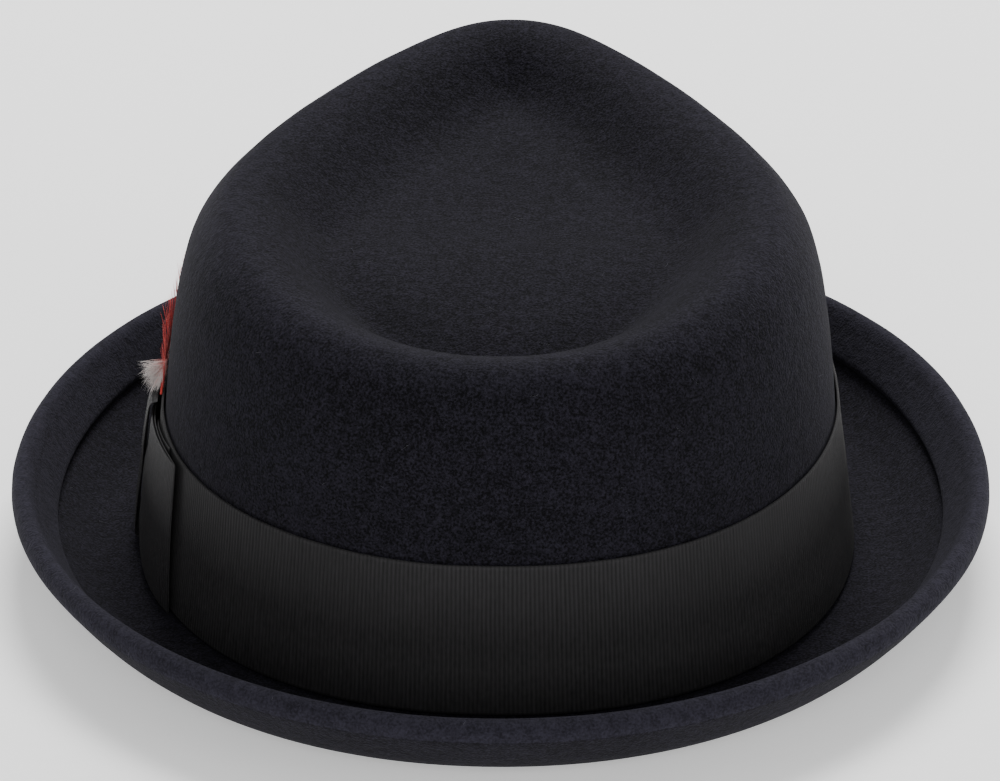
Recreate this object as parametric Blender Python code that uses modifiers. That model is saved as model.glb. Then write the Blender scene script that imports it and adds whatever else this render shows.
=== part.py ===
"""Stingy brim hat in wool felt, with a ribbon band, a side bow and a small feather.

Metres, +Z up. The hat stands on the flat of its brim at z = 0, its front faces -Y and the wearer's left is +X,
where the bow is. Every ring runs from the rear (turn 0) by the wearer's left (+X) to the front (half a turn).
The felt is drawn as its inner and under surface, and its thickness is added outwards and upwards.
"""

import math
from typing import NamedTuple

import bmesh
import bpy
from mathutils import Vector

COLLECTION = "stingy_brim_hat"
SEGMENTS = 56

# Felt and clearances
FELT = 0.0028
CLEARANCE = 0.0003

# Oval of the head opening, over the felt, measured from its widest line
HEAD_HALF_WIDTH = 0.086
HEAD_REAR = 0.093
HEAD_FRONT = 0.106
HEAD_POWER = 2.15
POINT_EASE = 1.5
BREAK_RADIUS = 0.0034

# Crest that runs round the dent, over the felt
CREST_HALF_WIDTH = 0.064
CREST_REAR = 0.077
CREST_FRONT = 0.095
CREST_POINT = 0.40
CREST_HEIGHT_REAR = 0.084
CREST_HEIGHT_SIDE = 0.092
CREST_HEIGHT_FRONT = 0.100

# Floor of the teardrop dent
FLOOR_HALF_WIDTH = 0.041
FLOOR_REAR = 0.054
FLOOR_FRONT = 0.072
FLOOR_POINT = 0.25
FLOOR_POWER = 1.35
DENT_DEPTH_REAR = 0.014
DENT_DEPTH_SIDE = 0.012
DENT_DEPTH_FRONT = 0.014
FLOOR_DOME = 0.002

# Brim, measured in plan from the head oval, and up from the flat that it rests on
REACH_REAR = 0.0345
REACH_SIDE = 0.0328
REACH_FRONT = 0.033
RISE_REAR = 0.0165
RISE_SIDE = 0.0185
RISE_FRONT = 0.0165
CURL_REAR = 2.2
CURL_SIDE = 1.6
CURL_FRONT = 1.6
BRIM_POWER = 2.02
FLAT_SHARE = 0.32
WELT_WIDTH = 0.0077
RAW_STEP = 0.0003
EDGE_ROUND = 0.0022

# Ribbon band
BAND_WIDTH = 0.038
BAND_THICKNESS = 0.0008
BAND_FOOT = BREAK_RADIUS + 2 * CLEARANCE

# Side bow
BOW_TURN = 0.485 * math.pi
RIBBON = 0.0003
LOOP_LENGTH = 0.043
LOOP_DEPTH = 0.0010
LOOP_CROWN = 0.0005
LOOP_HEIGHT = 0.037
LOOP_PINCH = 0.0045
LOOP_SLANT = 0.005
KNOT_WIDTH = 0.014
TAIL_LENGTH = 0.041
TAIL_SLANT = 0.010

# Feather
FEATHER_ALONG = -0.003
VANE_LENGTH = 0.050
VANE_WIDTH = 0.012
VANE_THICKNESS = 0.0010
VANE_LEAN = math.radians(62)
TUFT_ALONG = 0.002
TUFT_UP = 0.006
TUFT_RADIUS = 0.0032
TUFT_REACH = 0.0075
TUFT_WAY = (0.80, 0.35, -0.48)
TUFT_FAN = 0.25


class Ring(NamedTuple):
    """A closed outline round the hat: lengths from the widest line, heights, a front point and an oval's power."""

    half: float
    rear: float
    front: float
    z_rear: float
    z_side: float
    z_front: float
    point: float = 0.0
    rear_power: float = HEAD_POWER
    front_power: float = HEAD_POWER


class WallRow(NamedTuple):
    """One level of the crown's wall. Every column is a share of a named size."""

    lift: float
    side_in: float
    rear_in: float
    front_in: float
    tilt: float
    point: float


class DentRow(NamedTuple):
    """One ring of the dent: its share of the way to the floor's edge, and of the depth."""

    inward: float
    drop: float


class BrimRow(NamedTuple):
    """One ring of the brim: share of the reach, of the doubled wall, and of the rounding of the edge."""

    reach: float
    wall: float
    rounding: float


class LoopRow(NamedTuple):
    """One place of a bow loop: its share of the reach, and how far the loop stands open there."""

    along: float
    open: float


class KnotRow(NamedTuple):
    """One place of the knot's curl: its share of the pinch from the end, and of the way out."""

    curl: float
    rise: float


class VaneRow(NamedTuple):
    """One place of the feather's blade: its share of the length and of the width."""

    along: float
    width: float


WALL_ROWS = [
    WallRow(0.11, 0.05, 0.00, 0.03, 0.00, 0.00),
    WallRow(0.24, 0.13, 0.01, 0.08, 0.00, 0.00),
    WallRow(0.43, 0.25, 0.05, 0.18, 0.00, 0.06),
    WallRow(0.58, 0.32, 0.14, 0.26, 0.16, 0.16),
    WallRow(0.71, 0.40, 0.27, 0.36, 0.40, 0.32),
    WallRow(0.82, 0.50, 0.42, 0.48, 0.63, 0.50),
    WallRow(0.91, 0.63, 0.60, 0.62, 0.83, 0.70),
    WallRow(0.97, 0.82, 0.79, 0.82, 0.95, 0.90),
    WallRow(1.00, 1.00, 1.00, 1.00, 1.00, 1.00),
]

DENT_ROWS = [
    DentRow(0.18, 0.04),
    DentRow(0.38, 0.20),
    DentRow(0.58, 0.50),
    DentRow(0.78, 0.80),
    DentRow(1.00, 1.00),
]

FLOOR_SHARES = [0.72, 0.42, 0.18]

LOOP_ROWS = [
    LoopRow(0.0, 0.75),
    LoopRow(0.2, 0.85),
    LoopRow(0.45, 1.0),
    LoopRow(0.7, 1.0),
    LoopRow(0.9, 0.85),
    LoopRow(1.0, 0.5),
]

KNOT_ROWS = [
    KnotRow(0.0, 0.0),
    KnotRow(0.18, 0.7),
    KnotRow(0.6, 1.0),
]

VANE_ROWS = [
    VaneRow(0.0, 0.18),
    VaneRow(0.15, 0.6),
    VaneRow(0.35, 0.95),
    VaneRow(0.6, 1.0),
    VaneRow(0.8, 0.75),
    VaneRow(0.93, 0.42),
    VaneRow(1.0, 0.1),
]

WELT_SHARE = 1 - WELT_WIDTH / REACH_SIDE
STEP_SHARE = RAW_STEP / REACH_SIDE

BRIM_ROWS = [
    BrimRow(0.10, 0.50, 0.0),
    BrimRow(0.21, 0.50, 0.0),
    BrimRow(FLAT_SHARE, 0.50, 0.0),
    BrimRow(0.46, 0.50, 0.0),
    BrimRow(0.56, 0.50, 0.0),
    BrimRow(0.66, 0.50, 0.0),
    BrimRow(WELT_SHARE, 0.50, 0.0),
    BrimRow(WELT_SHARE + STEP_SHARE, 1.00, 0.0),
    BrimRow(0.87, 1.00, 0.0),
    BrimRow(0.95, 0.98, 0.0),
    BrimRow(0.99, 0.84, 0.35),
    BrimRow(1.00, 0.50, 1.0),
]


def blend(start, end, share):
    """Number part of the way from start to end."""
    return start + (end - start) * share


def plan_shift():
    """How far +Y the oval's widest line lies from the middle of the whole hat."""
    return (HEAD_FRONT + REACH_FRONT - HEAD_REAR - REACH_REAR) / 2


def ring_point(ring, turn):
    """Point of a ring at an angle from the rear."""
    along, across = math.cos(turn), math.sin(turn)
    length = ring.rear if along > 0 else ring.front
    end_z = ring.z_rear if along > 0 else ring.z_front
    narrowing = 1 - ring.point * max(0.0, -along) ** POINT_EASE
    power = 2 / (ring.rear_power if along > 0 else ring.front_power)
    x = ring.half * math.copysign(abs(across) ** power, across) * narrowing
    y = length * math.copysign(abs(along) ** power, along) + plan_shift()
    return (x, y, blend(ring.z_side, end_z, along * along))


def ring_points(ring):
    """The ring's points, evenly spread by angle."""
    return [ring_point(ring, 2 * math.pi * index / SEGMENTS) for index in range(SEGMENTS)]


def grown(ring, distance):
    """The ring moved outwards in plan."""
    return ring._replace(half=ring.half + distance, rear=ring.rear + distance, front=ring.front + distance)


def inner_head():
    """Oval of the head opening inside the felt, at the foot of the crown."""
    return Ring(HEAD_HALF_WIDTH - FELT, HEAD_REAR - FELT, HEAD_FRONT - FELT, BREAK_RADIUS, BREAK_RADIUS, BREAK_RADIUS)


def crest():
    """Top of the crown's edge, on the inner surface."""
    return Ring(
        CREST_HALF_WIDTH,
        CREST_REAR,
        CREST_FRONT,
        CREST_HEIGHT_REAR - FELT,
        CREST_HEIGHT_SIDE - FELT,
        CREST_HEIGHT_FRONT - FELT,
        CREST_POINT,
    )


def wall_ring(row):
    """Ring of the crown's wall, on the inner surface."""
    foot, top = inner_head(), crest()
    level = top.z_side * row.lift
    return Ring(
        blend(foot.half, top.half, row.side_in),
        blend(foot.rear, top.rear, row.rear_in),
        blend(foot.front, top.front, row.front_in),
        level + (top.z_rear - top.z_side) * row.tilt,
        level,
        level + (top.z_front - top.z_side) * row.tilt,
        top.point * row.point,
    )


def wall_at(height):
    """Ring of the inner surface at a level height, between the rows of the table."""
    lift = height / crest().z_side
    foot_row = WallRow(BREAK_RADIUS / crest().z_side, 0, 0, 0, 0, 0)
    rows = [foot_row, *WALL_ROWS]
    low = max((row for row in rows[:-1] if row.lift <= lift), key=lambda row: row.lift, default=foot_row)
    high = rows[rows.index(low) + 1]
    share = (lift - low.lift) / (high.lift - low.lift)
    return wall_ring(WallRow(*(blend(a, b, share) for a, b in zip(low, high))))


def floor_edge():
    """Edge of the dent's floor, on the inner surface."""
    top = crest()
    return Ring(
        FLOOR_HALF_WIDTH,
        FLOOR_REAR,
        FLOOR_FRONT,
        top.z_rear - DENT_DEPTH_REAR,
        top.z_side - DENT_DEPTH_SIDE,
        top.z_front - DENT_DEPTH_FRONT,
        FLOOR_POINT,
        HEAD_POWER,
        FLOOR_POWER,
    )


def dent_ring(row):
    """Ring of the dent's wall, between the crest and the floor's edge."""
    top, floor = crest(), floor_edge()
    values = [blend(a, b, row.inward) for a, b in zip(top, floor)]
    for index in (3, 4, 5):
        values[index] = blend(top[index], floor[index], row.drop)
    return Ring(*values)


def floor_middle():
    """Height of the middle of the dent's floor."""
    edge = floor_edge()
    return (edge.z_rear + edge.z_front) / 2 + FLOOR_DOME


def floor_ring(share):
    """Ring of the dent's floor, which is slightly domed."""
    edge = floor_edge()
    middle = floor_middle()
    bend = share * share
    return Ring(
        edge.half * share,
        edge.rear * share,
        edge.front * share,
        blend(middle, edge.z_rear, bend),
        blend(middle, edge.z_side, bend),
        blend(middle, edge.z_front, bend),
        edge.point,
        edge.rear_power,
        edge.front_power,
    )


def break_rings():
    """Rings of the rounded turn from the crown's wall to the brim, on the inner surface."""
    foot = inner_head()
    rings = []
    for angle in (0.0, math.pi / 4, math.pi / 2):
        level = BREAK_RADIUS * (1 - math.sin(angle))
        turned = grown(foot, BREAK_RADIUS * (1 - math.cos(angle)))
        rings.append(turned._replace(z_rear=level, z_side=level, z_front=level))
    return rings


def brim_ring(row):
    """Ring of the brim's underside."""
    run = max(0.0, (row.reach - FLAT_SHARE) / (1 - FLAT_SHARE))
    rounding = EDGE_ROUND * row.rounding
    return Ring(
        HEAD_HALF_WIDTH + REACH_SIDE * row.reach,
        HEAD_REAR + REACH_REAR * row.reach,
        HEAD_FRONT + REACH_FRONT * row.reach,
        RISE_REAR * run**CURL_REAR + rounding,
        RISE_SIDE * run**CURL_SIDE + rounding,
        RISE_FRONT * run**CURL_FRONT + rounding,
        0.0,
        blend(HEAD_POWER, BRIM_POWER, row.reach),
        blend(HEAD_POWER, BRIM_POWER, row.reach),
    )


def material(name, colour, roughness):
    """Matt cloth-like finish with one colour."""
    made = bpy.data.materials.new(name)
    made.use_nodes = True
    shader = made.node_tree.nodes["Principled BSDF"]
    shader.inputs["Base Color"].default_value = (*colour, 1.0)
    shader.inputs["Roughness"].default_value = roughness
    shader.inputs["Metallic"].default_value = 0.0
    return made


def add_object(name, mesh_data, finish, collection):
    """Object for a finished bmesh, shaded smooth."""
    mesh = bpy.data.meshes.new(name)
    mesh_data.to_mesh(mesh)
    mesh_data.free()
    mesh.materials.append(finish)
    mesh.shade_smooth()
    made = bpy.data.objects.new(name, mesh)
    collection.objects.link(made)
    return made


def add_wall(piece, thickness, offset, group=None):
    """Gives an open surface its thickness."""
    wall = piece.modifiers.new("wall", "SOLIDIFY")
    wall.thickness = thickness
    wall.offset = offset
    wall.use_even_offset = True
    if group:
        wall.vertex_group = group
    return wall


def loft(mesh_data, rows, closed_rows):
    """Faces between rows of points with equal counts. A closed row joins its last point to its first."""
    made = [[mesh_data.verts.new(point) for point in row] for row in rows]
    count = len(rows[0])
    for upper, lower in zip(made, made[1:]):
        for index in range(count if closed_rows else count - 1):
            after = (index + 1) % count
            mesh_data.faces.new((upper[index], upper[after], lower[after], lower[index]))
    return made


def felt_rings():
    """Rings of the felt's inner surface from the middle of the dent to the brim's edge, with their wall shares."""
    rings = [(floor_ring(share), 0.5) for share in reversed(FLOOR_SHARES)]
    rings += [(dent_ring(row), 0.5) for row in reversed(DENT_ROWS)]
    rings += [(wall_ring(row), 0.5) for row in reversed(WALL_ROWS)]
    rings += [(ring, 0.5) for ring in break_rings()]
    rings += [(brim_ring(row), row.wall) for row in BRIM_ROWS]
    return rings


def build_felt_body(collection):
    """Crown and brim, one piece of felt whose edge is folded back over the brim as a welt."""
    mesh_data = bmesh.new()
    rings = felt_rings()
    made = loft(mesh_data, [ring_points(ring) for ring, _ in rings], True)
    middle = mesh_data.verts.new((0.0, plan_shift(), floor_middle()))
    for index in range(SEGMENTS):
        mesh_data.faces.new((middle, made[0][index], made[0][(index + 1) % SEGMENTS]))
    bmesh.ops.recalc_face_normals(mesh_data, faces=mesh_data.faces)
    mesh_data.faces.ensure_lookup_table()
    if mesh_data.faces[-1].normal.z < 0:
        bmesh.ops.reverse_faces(mesh_data, faces=mesh_data.faces)
    shares = {vert: share for row, (_, share) in zip(made, rings) for vert in row}
    shares[middle] = 0.5
    mesh_data.verts.index_update()
    weights = {vert.index: share for vert, share in shares.items()}
    felt = add_object("felt_body", mesh_data, material("felt", (0.012, 0.013, 0.022), 0.95), collection)
    group = felt.vertex_groups.new(name="wall")
    for index, share in weights.items():
        group.add([index], share, "REPLACE")
    add_wall(felt, 2 * FELT, 1.0, "wall")
    return felt


def build_hat_band(collection):
    """Ribbon round the foot of the crown."""
    mesh_data = bmesh.new()
    head = BAND_FOOT + BAND_WIDTH
    levels = [row.lift * crest().z_side for row in WALL_ROWS]
    heights = [BAND_FOOT, *(level for level in levels if BAND_FOOT < level < head), head]
    rows = [ring_points(grown(wall_at(height), FELT + CLEARANCE)) for height in reversed(heights)]
    loft(mesh_data, rows, True)
    band = add_object("hat_band", mesh_data, material("band_ribbon", (0.020, 0.020, 0.023), 0.6), collection)
    add_wall(band, BAND_THICKNESS, 1.0)
    return band


def seat(along, height, out):
    """Point on the wearer's left: its distance towards the front from the bow, its height and distance off the felt."""
    turn = BOW_TURN + along / ((HEAD_REAR + HEAD_FRONT) / 2)
    return ring_point(grown(wall_at(height), FELT + out), turn)


def over_band():
    """How far off the felt the first layer over the band starts."""
    return CLEARANCE + BAND_THICKNESS + CLEARANCE


def band_middle():
    """Height of the middle of the band."""
    return BAND_FOOT + BAND_WIDTH / 2


def loop_under():
    """How far off the felt the under layer of the loops starts."""
    return over_band() + RIBBON + CLEARANCE


def loop_path():
    """The flattened loops seen from above, once round: distance along as a share, and distance off the felt."""
    under = loop_under()
    rear_under = [(-row.along, under) for row in LOOP_ROWS[:-1]]
    rear_over = [(-row.along, under + LOOP_DEPTH * row.open) for row in LOOP_ROWS[::-1]]
    front_over = [(row.along, under + LOOP_DEPTH * row.open) for row in LOOP_ROWS[1:]]
    front_under = [(row.along, under) for row in LOOP_ROWS[-2:0:-1]]
    return rear_under + rear_over + front_over + front_under


def build_bow_loops(collection):
    """Two flat ribbon loops in one closed strip, gathered under the knot."""
    mesh_data = bmesh.new()
    rows = []
    for level in (0.5, 0.25, 0.0, -0.25, -0.5):
        crown = LOOP_CROWN * (1 - (2 * level) ** 2)
        row = []
        for share, out in loop_path():
            spread = LOOP_HEIGHT - 2 * LOOP_PINCH * (1 - abs(share)) ** 2
            slant = LOOP_SLANT * share**8 * max(0.0, -level) * 2
            row.append(seat(LOOP_LENGTH * share, band_middle() + level * spread + slant, out + crown))
        rows.append(row)
    loft(mesh_data, rows, True)
    loops = add_object("bow_loops", mesh_data, material("bow_ribbon", (0.018, 0.018, 0.021), 0.45), collection)
    add_wall(loops, RIBBON, -1.0)
    return loops


def build_bow_knot(collection):
    """Strip that wraps the middle of the bow, curled in to the band above and below it."""
    mesh_data = bmesh.new()
    near = over_band()
    far = loop_under() + LOOP_DEPTH + LOOP_CROWN + CLEARANCE
    foot = BAND_FOOT + CLEARANCE
    head = BAND_FOOT + BAND_WIDTH - CLEARANCE
    upper = [(head - LOOP_PINCH * row.curl, blend(near, far, row.rise)) for row in KNOT_ROWS]
    lower = [(foot + LOOP_PINCH * row.curl, blend(near, far, row.rise)) for row in KNOT_ROWS]
    rows = []
    for height, out in [*upper, (band_middle(), far), *lower[::-1]]:
        rows.append([seat(KNOT_WIDTH * share, height, out) for share in (-0.5, -0.25, 0.0, 0.25, 0.5)])
    loft(mesh_data, rows, False)
    knot = add_object("bow_knot", mesh_data, bpy.data.materials["bow_ribbon"], collection)
    add_wall(knot, RIBBON, 1.0)
    return knot


def build_bow_tail(collection):
    """Ribbon end that lies under the rear loop, cut on the slant so that its lower corner points to the rear."""
    mesh_data = bmesh.new()
    rows = []
    for level in (0.5, 0.25, 0.0, -0.25, -0.5):
        reach = TAIL_LENGTH - TAIL_SLANT * (0.5 + level)
        row = []
        for share in (1.0, 0.8, 0.6, 0.4, 0.2):
            spread = blend(BAND_WIDTH * 0.6, BAND_WIDTH - 2 * CLEARANCE, share)
            row.append(seat(-reach * share, band_middle() + level * spread, over_band()))
        rows.append(row)
    loft(mesh_data, rows, False)
    tail = add_object("bow_tail", mesh_data, bpy.data.materials["bow_ribbon"], collection)
    add_wall(tail, RIBBON, 1.0)
    return tail


def build_feather_vane(collection):
    """Flat blade of the feather, laid up the crown's side from the top of the band and leaning to the front."""
    mesh_data = bmesh.new()
    root = BAND_FOOT + BAND_WIDTH + 2 * CLEARANCE
    rows = []
    for share, width in VANE_ROWS:
        row = []
        for side in (-0.5, 0.0, 0.5):
            up = VANE_LENGTH * share * math.cos(VANE_LEAN) - VANE_WIDTH * width * side * math.sin(VANE_LEAN)
            along = FEATHER_ALONG + VANE_LENGTH * share * math.sin(VANE_LEAN) + VANE_WIDTH * width * side * math.cos(VANE_LEAN)
            row.append(seat(along, root + max(0.0, up), 2 * CLEARANCE))
        rows.append(row)
    loft(mesh_data, rows[::-1], False)
    vane = add_object("feather_vane", mesh_data, material("feather_red", (0.62, 0.03, 0.03), 0.8), collection)
    add_wall(vane, VANE_THICKNESS, 1.0)
    return vane


def build_feather_tuft(collection):
    """Down at the feather's root: pointed locks that hang out of one core to the rear."""
    mesh_data = bmesh.new()
    bmesh.ops.create_icosphere(mesh_data, subdivisions=2, radius=TUFT_RADIUS)
    root = BAND_FOOT + BAND_WIDTH
    middle = seat(TUFT_ALONG, root + TUFT_UP, VANE_THICKNESS + 3 * CLEARANCE + TUFT_RADIUS)
    way = Vector(TUFT_WAY).normalized()
    for vert in mesh_data.verts:
        direction = vert.co.normalized()
        outward = max(0.0, direction.dot(way) - TUFT_FAN) / (1 - TUFT_FAN)
        lock = outward if vert.index % 2 == 0 else 0.0
        vert.co = vert.co + direction * (TUFT_REACH - TUFT_RADIUS) * lock
        vert.co.x = max(vert.co.x, -TUFT_RADIUS)
    for vert in mesh_data.verts:
        vert.co = (vert.co.x + middle[0], vert.co.y + middle[1], vert.co.z + middle[2])
    return add_object("feather_tuft", mesh_data, material("feather_down", (0.85, 0.62, 0.60), 0.9), collection)


def clear_scene():
    """Removes every object of the open scene."""
    for old in list(bpy.data.objects):
        bpy.data.objects.remove(old)


def main():
    """Builds the hat, piece by piece."""
    clear_scene()
    collection = bpy.data.collections.new(COLLECTION)
    bpy.context.scene.collection.children.link(collection)
    build_felt_body(collection)
    build_hat_band(collection)
    build_bow_loops(collection)
    build_bow_knot(collection)
    build_bow_tail(collection)
    build_feather_vane(collection)
    build_feather_tuft(collection)


main()
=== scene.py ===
"""Stingy brim hat: felt, ribbon band, side bow and feather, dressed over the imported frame.

Lengths are in metres. The front of the hat points to -Y, the wearer's left to +X, and up is +Z.
A turn is an angle round the hat from the rear, growing towards the wearer's left.
"""

import bisect
import logging
import math
import random
from dataclasses import dataclass, field
from enum import Enum
from typing import Callable, NamedTuple, Sequence

import bmesh
import bpy
from mathutils import Matrix, Vector, noise


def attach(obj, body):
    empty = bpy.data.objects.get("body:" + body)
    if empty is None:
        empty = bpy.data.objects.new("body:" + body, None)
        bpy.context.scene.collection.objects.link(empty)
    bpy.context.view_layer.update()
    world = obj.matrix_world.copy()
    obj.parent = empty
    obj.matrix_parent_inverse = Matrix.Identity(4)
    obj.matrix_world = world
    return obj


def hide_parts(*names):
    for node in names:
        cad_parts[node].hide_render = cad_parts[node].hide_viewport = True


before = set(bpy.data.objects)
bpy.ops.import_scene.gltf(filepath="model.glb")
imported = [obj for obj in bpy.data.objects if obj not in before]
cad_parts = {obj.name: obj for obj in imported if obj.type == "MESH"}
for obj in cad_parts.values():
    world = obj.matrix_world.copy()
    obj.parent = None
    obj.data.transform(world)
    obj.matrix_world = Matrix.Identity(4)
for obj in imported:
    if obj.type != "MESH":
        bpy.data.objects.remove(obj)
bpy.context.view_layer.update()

BODY = "root"
LOG = logging.getLogger("hat")
FULL_TURN = 2 * math.pi
NOISE_SEED = 17


def mixed(start: float, end: float, share: float) -> float:
    """Number part of the way from start to end."""
    return start + (end - start) * share


def eased(low: float, high: float, value: float) -> float:
    """Share from 0 below low to 1 above high, with soft ends."""
    share = min(1.0, max(0.0, (value - low) / (high - low)))
    return share * share * (3 - 2 * share)


class Wire:
    """An output socket of a material. Arithmetic on it adds Math nodes."""

    def __init__(self, bench: "Bench", socket: bpy.types.NodeSocket) -> None:
        """Keeps the socket and the bench that its material is made on."""
        self.bench = bench
        self.socket = socket

    def math(self, operation: str, *values: "Wire | float") -> "Wire":
        """Adds one Math node.

        Args:
            operation: the node's operation.
            values: its inputs in order.

        Returns:
            The node's result.
        """
        inputs = dict(enumerate(values))
        return self.bench.wire("ShaderNodeMath", {"operation": operation}, inputs)

    def __add__(self, other: "Wire | float") -> "Wire":
        """Sum."""
        return self.math("ADD", self, other)

    __radd__ = __add__

    def __sub__(self, other: "Wire | float") -> "Wire":
        """Difference."""
        return self.math("SUBTRACT", self, other)

    def __rsub__(self, other: float) -> "Wire":
        """Difference from a number."""
        return self.math("SUBTRACT", other, self)

    def __mul__(self, other: "Wire | float") -> "Wire":
        """Product."""
        return self.math("MULTIPLY", self, other)

    __rmul__ = __mul__

    def __truediv__(self, other: "Wire | float") -> "Wire":
        """Quotient."""
        return self.math("DIVIDE", self, other)

    def __pow__(self, other: float) -> "Wire":
        """Power."""
        return self.math("POWER", self, other)

    def __gt__(self, other: float) -> "Wire":
        """1 where the value is over the other."""
        return self.math("GREATER_THAN", self, other)

    def __lt__(self, other: float) -> "Wire":
        """1 where the value is under the other."""
        return self.math("LESS_THAN", self, other)

    def wave(self) -> "Wire":
        """Cosine wave from 0 to 1, one for each whole number."""
        return self.math("COSINE", self * FULL_TURN) * 0.5 + 0.5

    def ramp(self, low: float, high: float) -> "Wire":
        """Share from 0 at low to 1 at high."""
        spread = {0: self, 1: low, 2: high, 3: 0.0, 4: 1.0}
        return self.bench.wire("ShaderNodeMapRange", {"clamp": True}, spread)


class Bench:
    """One material while its nodes are put together."""

    def __init__(self, name: str) -> None:
        """Starts a material with its one shader."""
        self.material = bpy.data.materials.new(name)
        self.material.use_nodes = True
        self.tree = self.material.node_tree
        self.shader = self.tree.nodes["Principled BSDF"]

    def node(
        self,
        kind: str,
        settings: dict[str, object] | None = None,
        inputs: dict[int | str, object] | None = None,
    ) -> bpy.types.Node:
        """Adds a node.

        Args:
            kind: the node's type.
            settings: its properties, and the stops of a colour ramp under "stops".
            inputs: values or wires by socket.

        Returns:
            The node.
        """
        made = self.tree.nodes.new(kind)
        for key, value in (settings or {}).items():
            if key != "stops":
                setattr(made, key, value)
                continue
            bar = made.color_ramp.elements
            for place, colour in value[len(bar) :]:
                bar.new(place)
            for stop, (place, colour) in zip(bar, value):
                stop.position = place
                stop.color = (*colour, 1.0)
        for key, value in (inputs or {}).items():
            self.feed(made.inputs[key], value)
        return made

    def feed(self, socket: bpy.types.NodeSocket, value: object) -> None:
        """Links a wire to a socket, or sets the socket's own value."""
        if isinstance(value, Wire):
            self.tree.links.new(value.socket, socket)
        elif socket.type == "RGBA" and len(value) == 3:
            socket.default_value = (*value, 1.0)
        else:
            socket.default_value = value

    def wire(
        self,
        kind: str,
        settings: dict[str, object] | None = None,
        inputs: dict[int | str, object] | None = None,
        output: int | str = 0,
    ) -> Wire:
        """Adds a node and gives one of its outputs."""
        return Wire(self, self.node(kind, settings, inputs).outputs[output])

    def place(self) -> Wire:
        """Object coordinates."""
        return self.wire("ShaderNodeTexCoord", output="Object")

    def laid(self) -> tuple[Wire, Wire]:
        """Lengths along and across the ribbon or strand, from its own UV map."""
        both = self.node("ShaderNodeSeparateXYZ", inputs={0: self.wire("ShaderNodeTexCoord", output="UV")})
        return Wire(self, both.outputs[0]), Wire(self, both.outputs[1])

    def joined(self, x: Wire | float, y: Wire | float, z: Wire | float = 0.0) -> Wire:
        """Vector of three values."""
        return self.wire("ShaderNodeCombineXYZ", inputs={0: x, 1: y, 2: z})

    def turned(self, place: Wire, rotation: Sequence[float], scale: Sequence[float]) -> Wire:
        """Coordinates turned and stretched by a Mapping node."""
        return self.wire("ShaderNodeMapping", inputs={"Vector": place, "Rotation": rotation, "Scale": scale})

    def noise(self, place: Wire, scale: float, detail: float = 2.0, roughness: float = 0.5) -> Wire:
        """Soft noise from about 0 to 1."""
        inputs = {"Vector": place, "Scale": scale, "Detail": detail, "Roughness": roughness}
        return self.wire("ShaderNodeTexNoise", inputs=inputs)

    def blend(self, share: Wire, low: Wire | Sequence[float], high: Wire | Sequence[float]) -> Wire:
        """Colour between two."""
        return self.wire("ShaderNodeMix", {"data_type": "RGBA"}, {0: share, 6: low, 7: high}, 2)

    def bump(self, height: Wire, distance: float, strength: float) -> None:
        """Feeds a height in metres times distance to the shader's normal."""
        relief = {"Height": height, "Distance": distance, "Strength": strength}
        self.feed(self.shader.inputs["Normal"], self.wire("ShaderNodeBump", inputs=relief))

    def dress(self, **values: object) -> bpy.types.Material:
        """Feeds the shader's sockets, named with _ for a blank, and gives the material."""
        for key, value in values.items():
            self.feed(self.shader.inputs[key.replace("_", " ")], value)
        return self.material


Colour = tuple[float, float, float]


@dataclass(frozen=True)
class FeltFinish:
    """Short-napped wool felt, blue-black, with painted sheen on the crest, the welt and the fold, and some lint.

    Attributes:
        deep: colour between the fibres.
        bright: colour of the fibres.
        painted_sheen_colour: lighter colour painted where light catches the nap, as painted sheen.
        lint: colour of the specks.
        sheen: how much the nap lights up at a low angle.
    """

    name: str = "felt"
    deep: Colour = (0.0020, 0.0019, 0.0026)
    bright: Colour = (0.0148, 0.0136, 0.0205)
    painted_sheen_colour: Colour = (0.0300, 0.0285, 0.0410)
    lint: Colour = (0.16, 0.16, 0.19)
    sheen: float = 0.025

    def make(self) -> bpy.types.Material:
        """Makes the material."""
        bench = Bench(self.name)
        place = bench.place()
        nap = bench.noise(place, 1700, 1.0, 0.7)
        matted = bench.noise(place, 420, 2.0, 0.6)
        cloudy = bench.noise(place, 38, 1.0)
        # Painted sheen: a vertex mask, strong on the crest, the welt and the fold, lightens the felt's colour there,
        # broken up by the nap.
        worn = bench.wire("ShaderNodeAttribute", {"attribute_name": "worn"}, output="Fac")
        shade = (nap * 2.6 + matted * 0.9 + cloudy * 0.3 - 1.53).ramp(0.0, 1.0)
        base = bench.blend(shade, self.deep, self.bright)
        sheen_painted_base = bench.blend((worn * (nap * 0.7 + matted * 0.7)).ramp(0.1, 1.2), base, self.painted_sheen_colour)
        cells = bench.node("ShaderNodeTexVoronoi", inputs={"Vector": place, "Scale": 190.0})
        spot = Wire(bench, cells.outputs["Distance"])
        chance = bench.wire("ShaderNodeSeparateColor", inputs={0: Wire(bench, cells.outputs["Color"])})
        speck = (spot < 0.05) * (chance > 0.985)
        colour = bench.blend(speck * 0.7, sheen_painted_base, self.lint)
        bench.bump(nap * 0.5 + matted * 0.6, 0.0007, 0.8)
        return bench.dress(
            Base_Color=colour,
            Roughness=0.95,
            Specular_IOR_Level=0.10,
            Sheen_Weight=self.sheen,
            Sheen_Roughness=0.5,
            Sheen_Tint=(0.80, 0.78, 0.95),
        )


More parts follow.
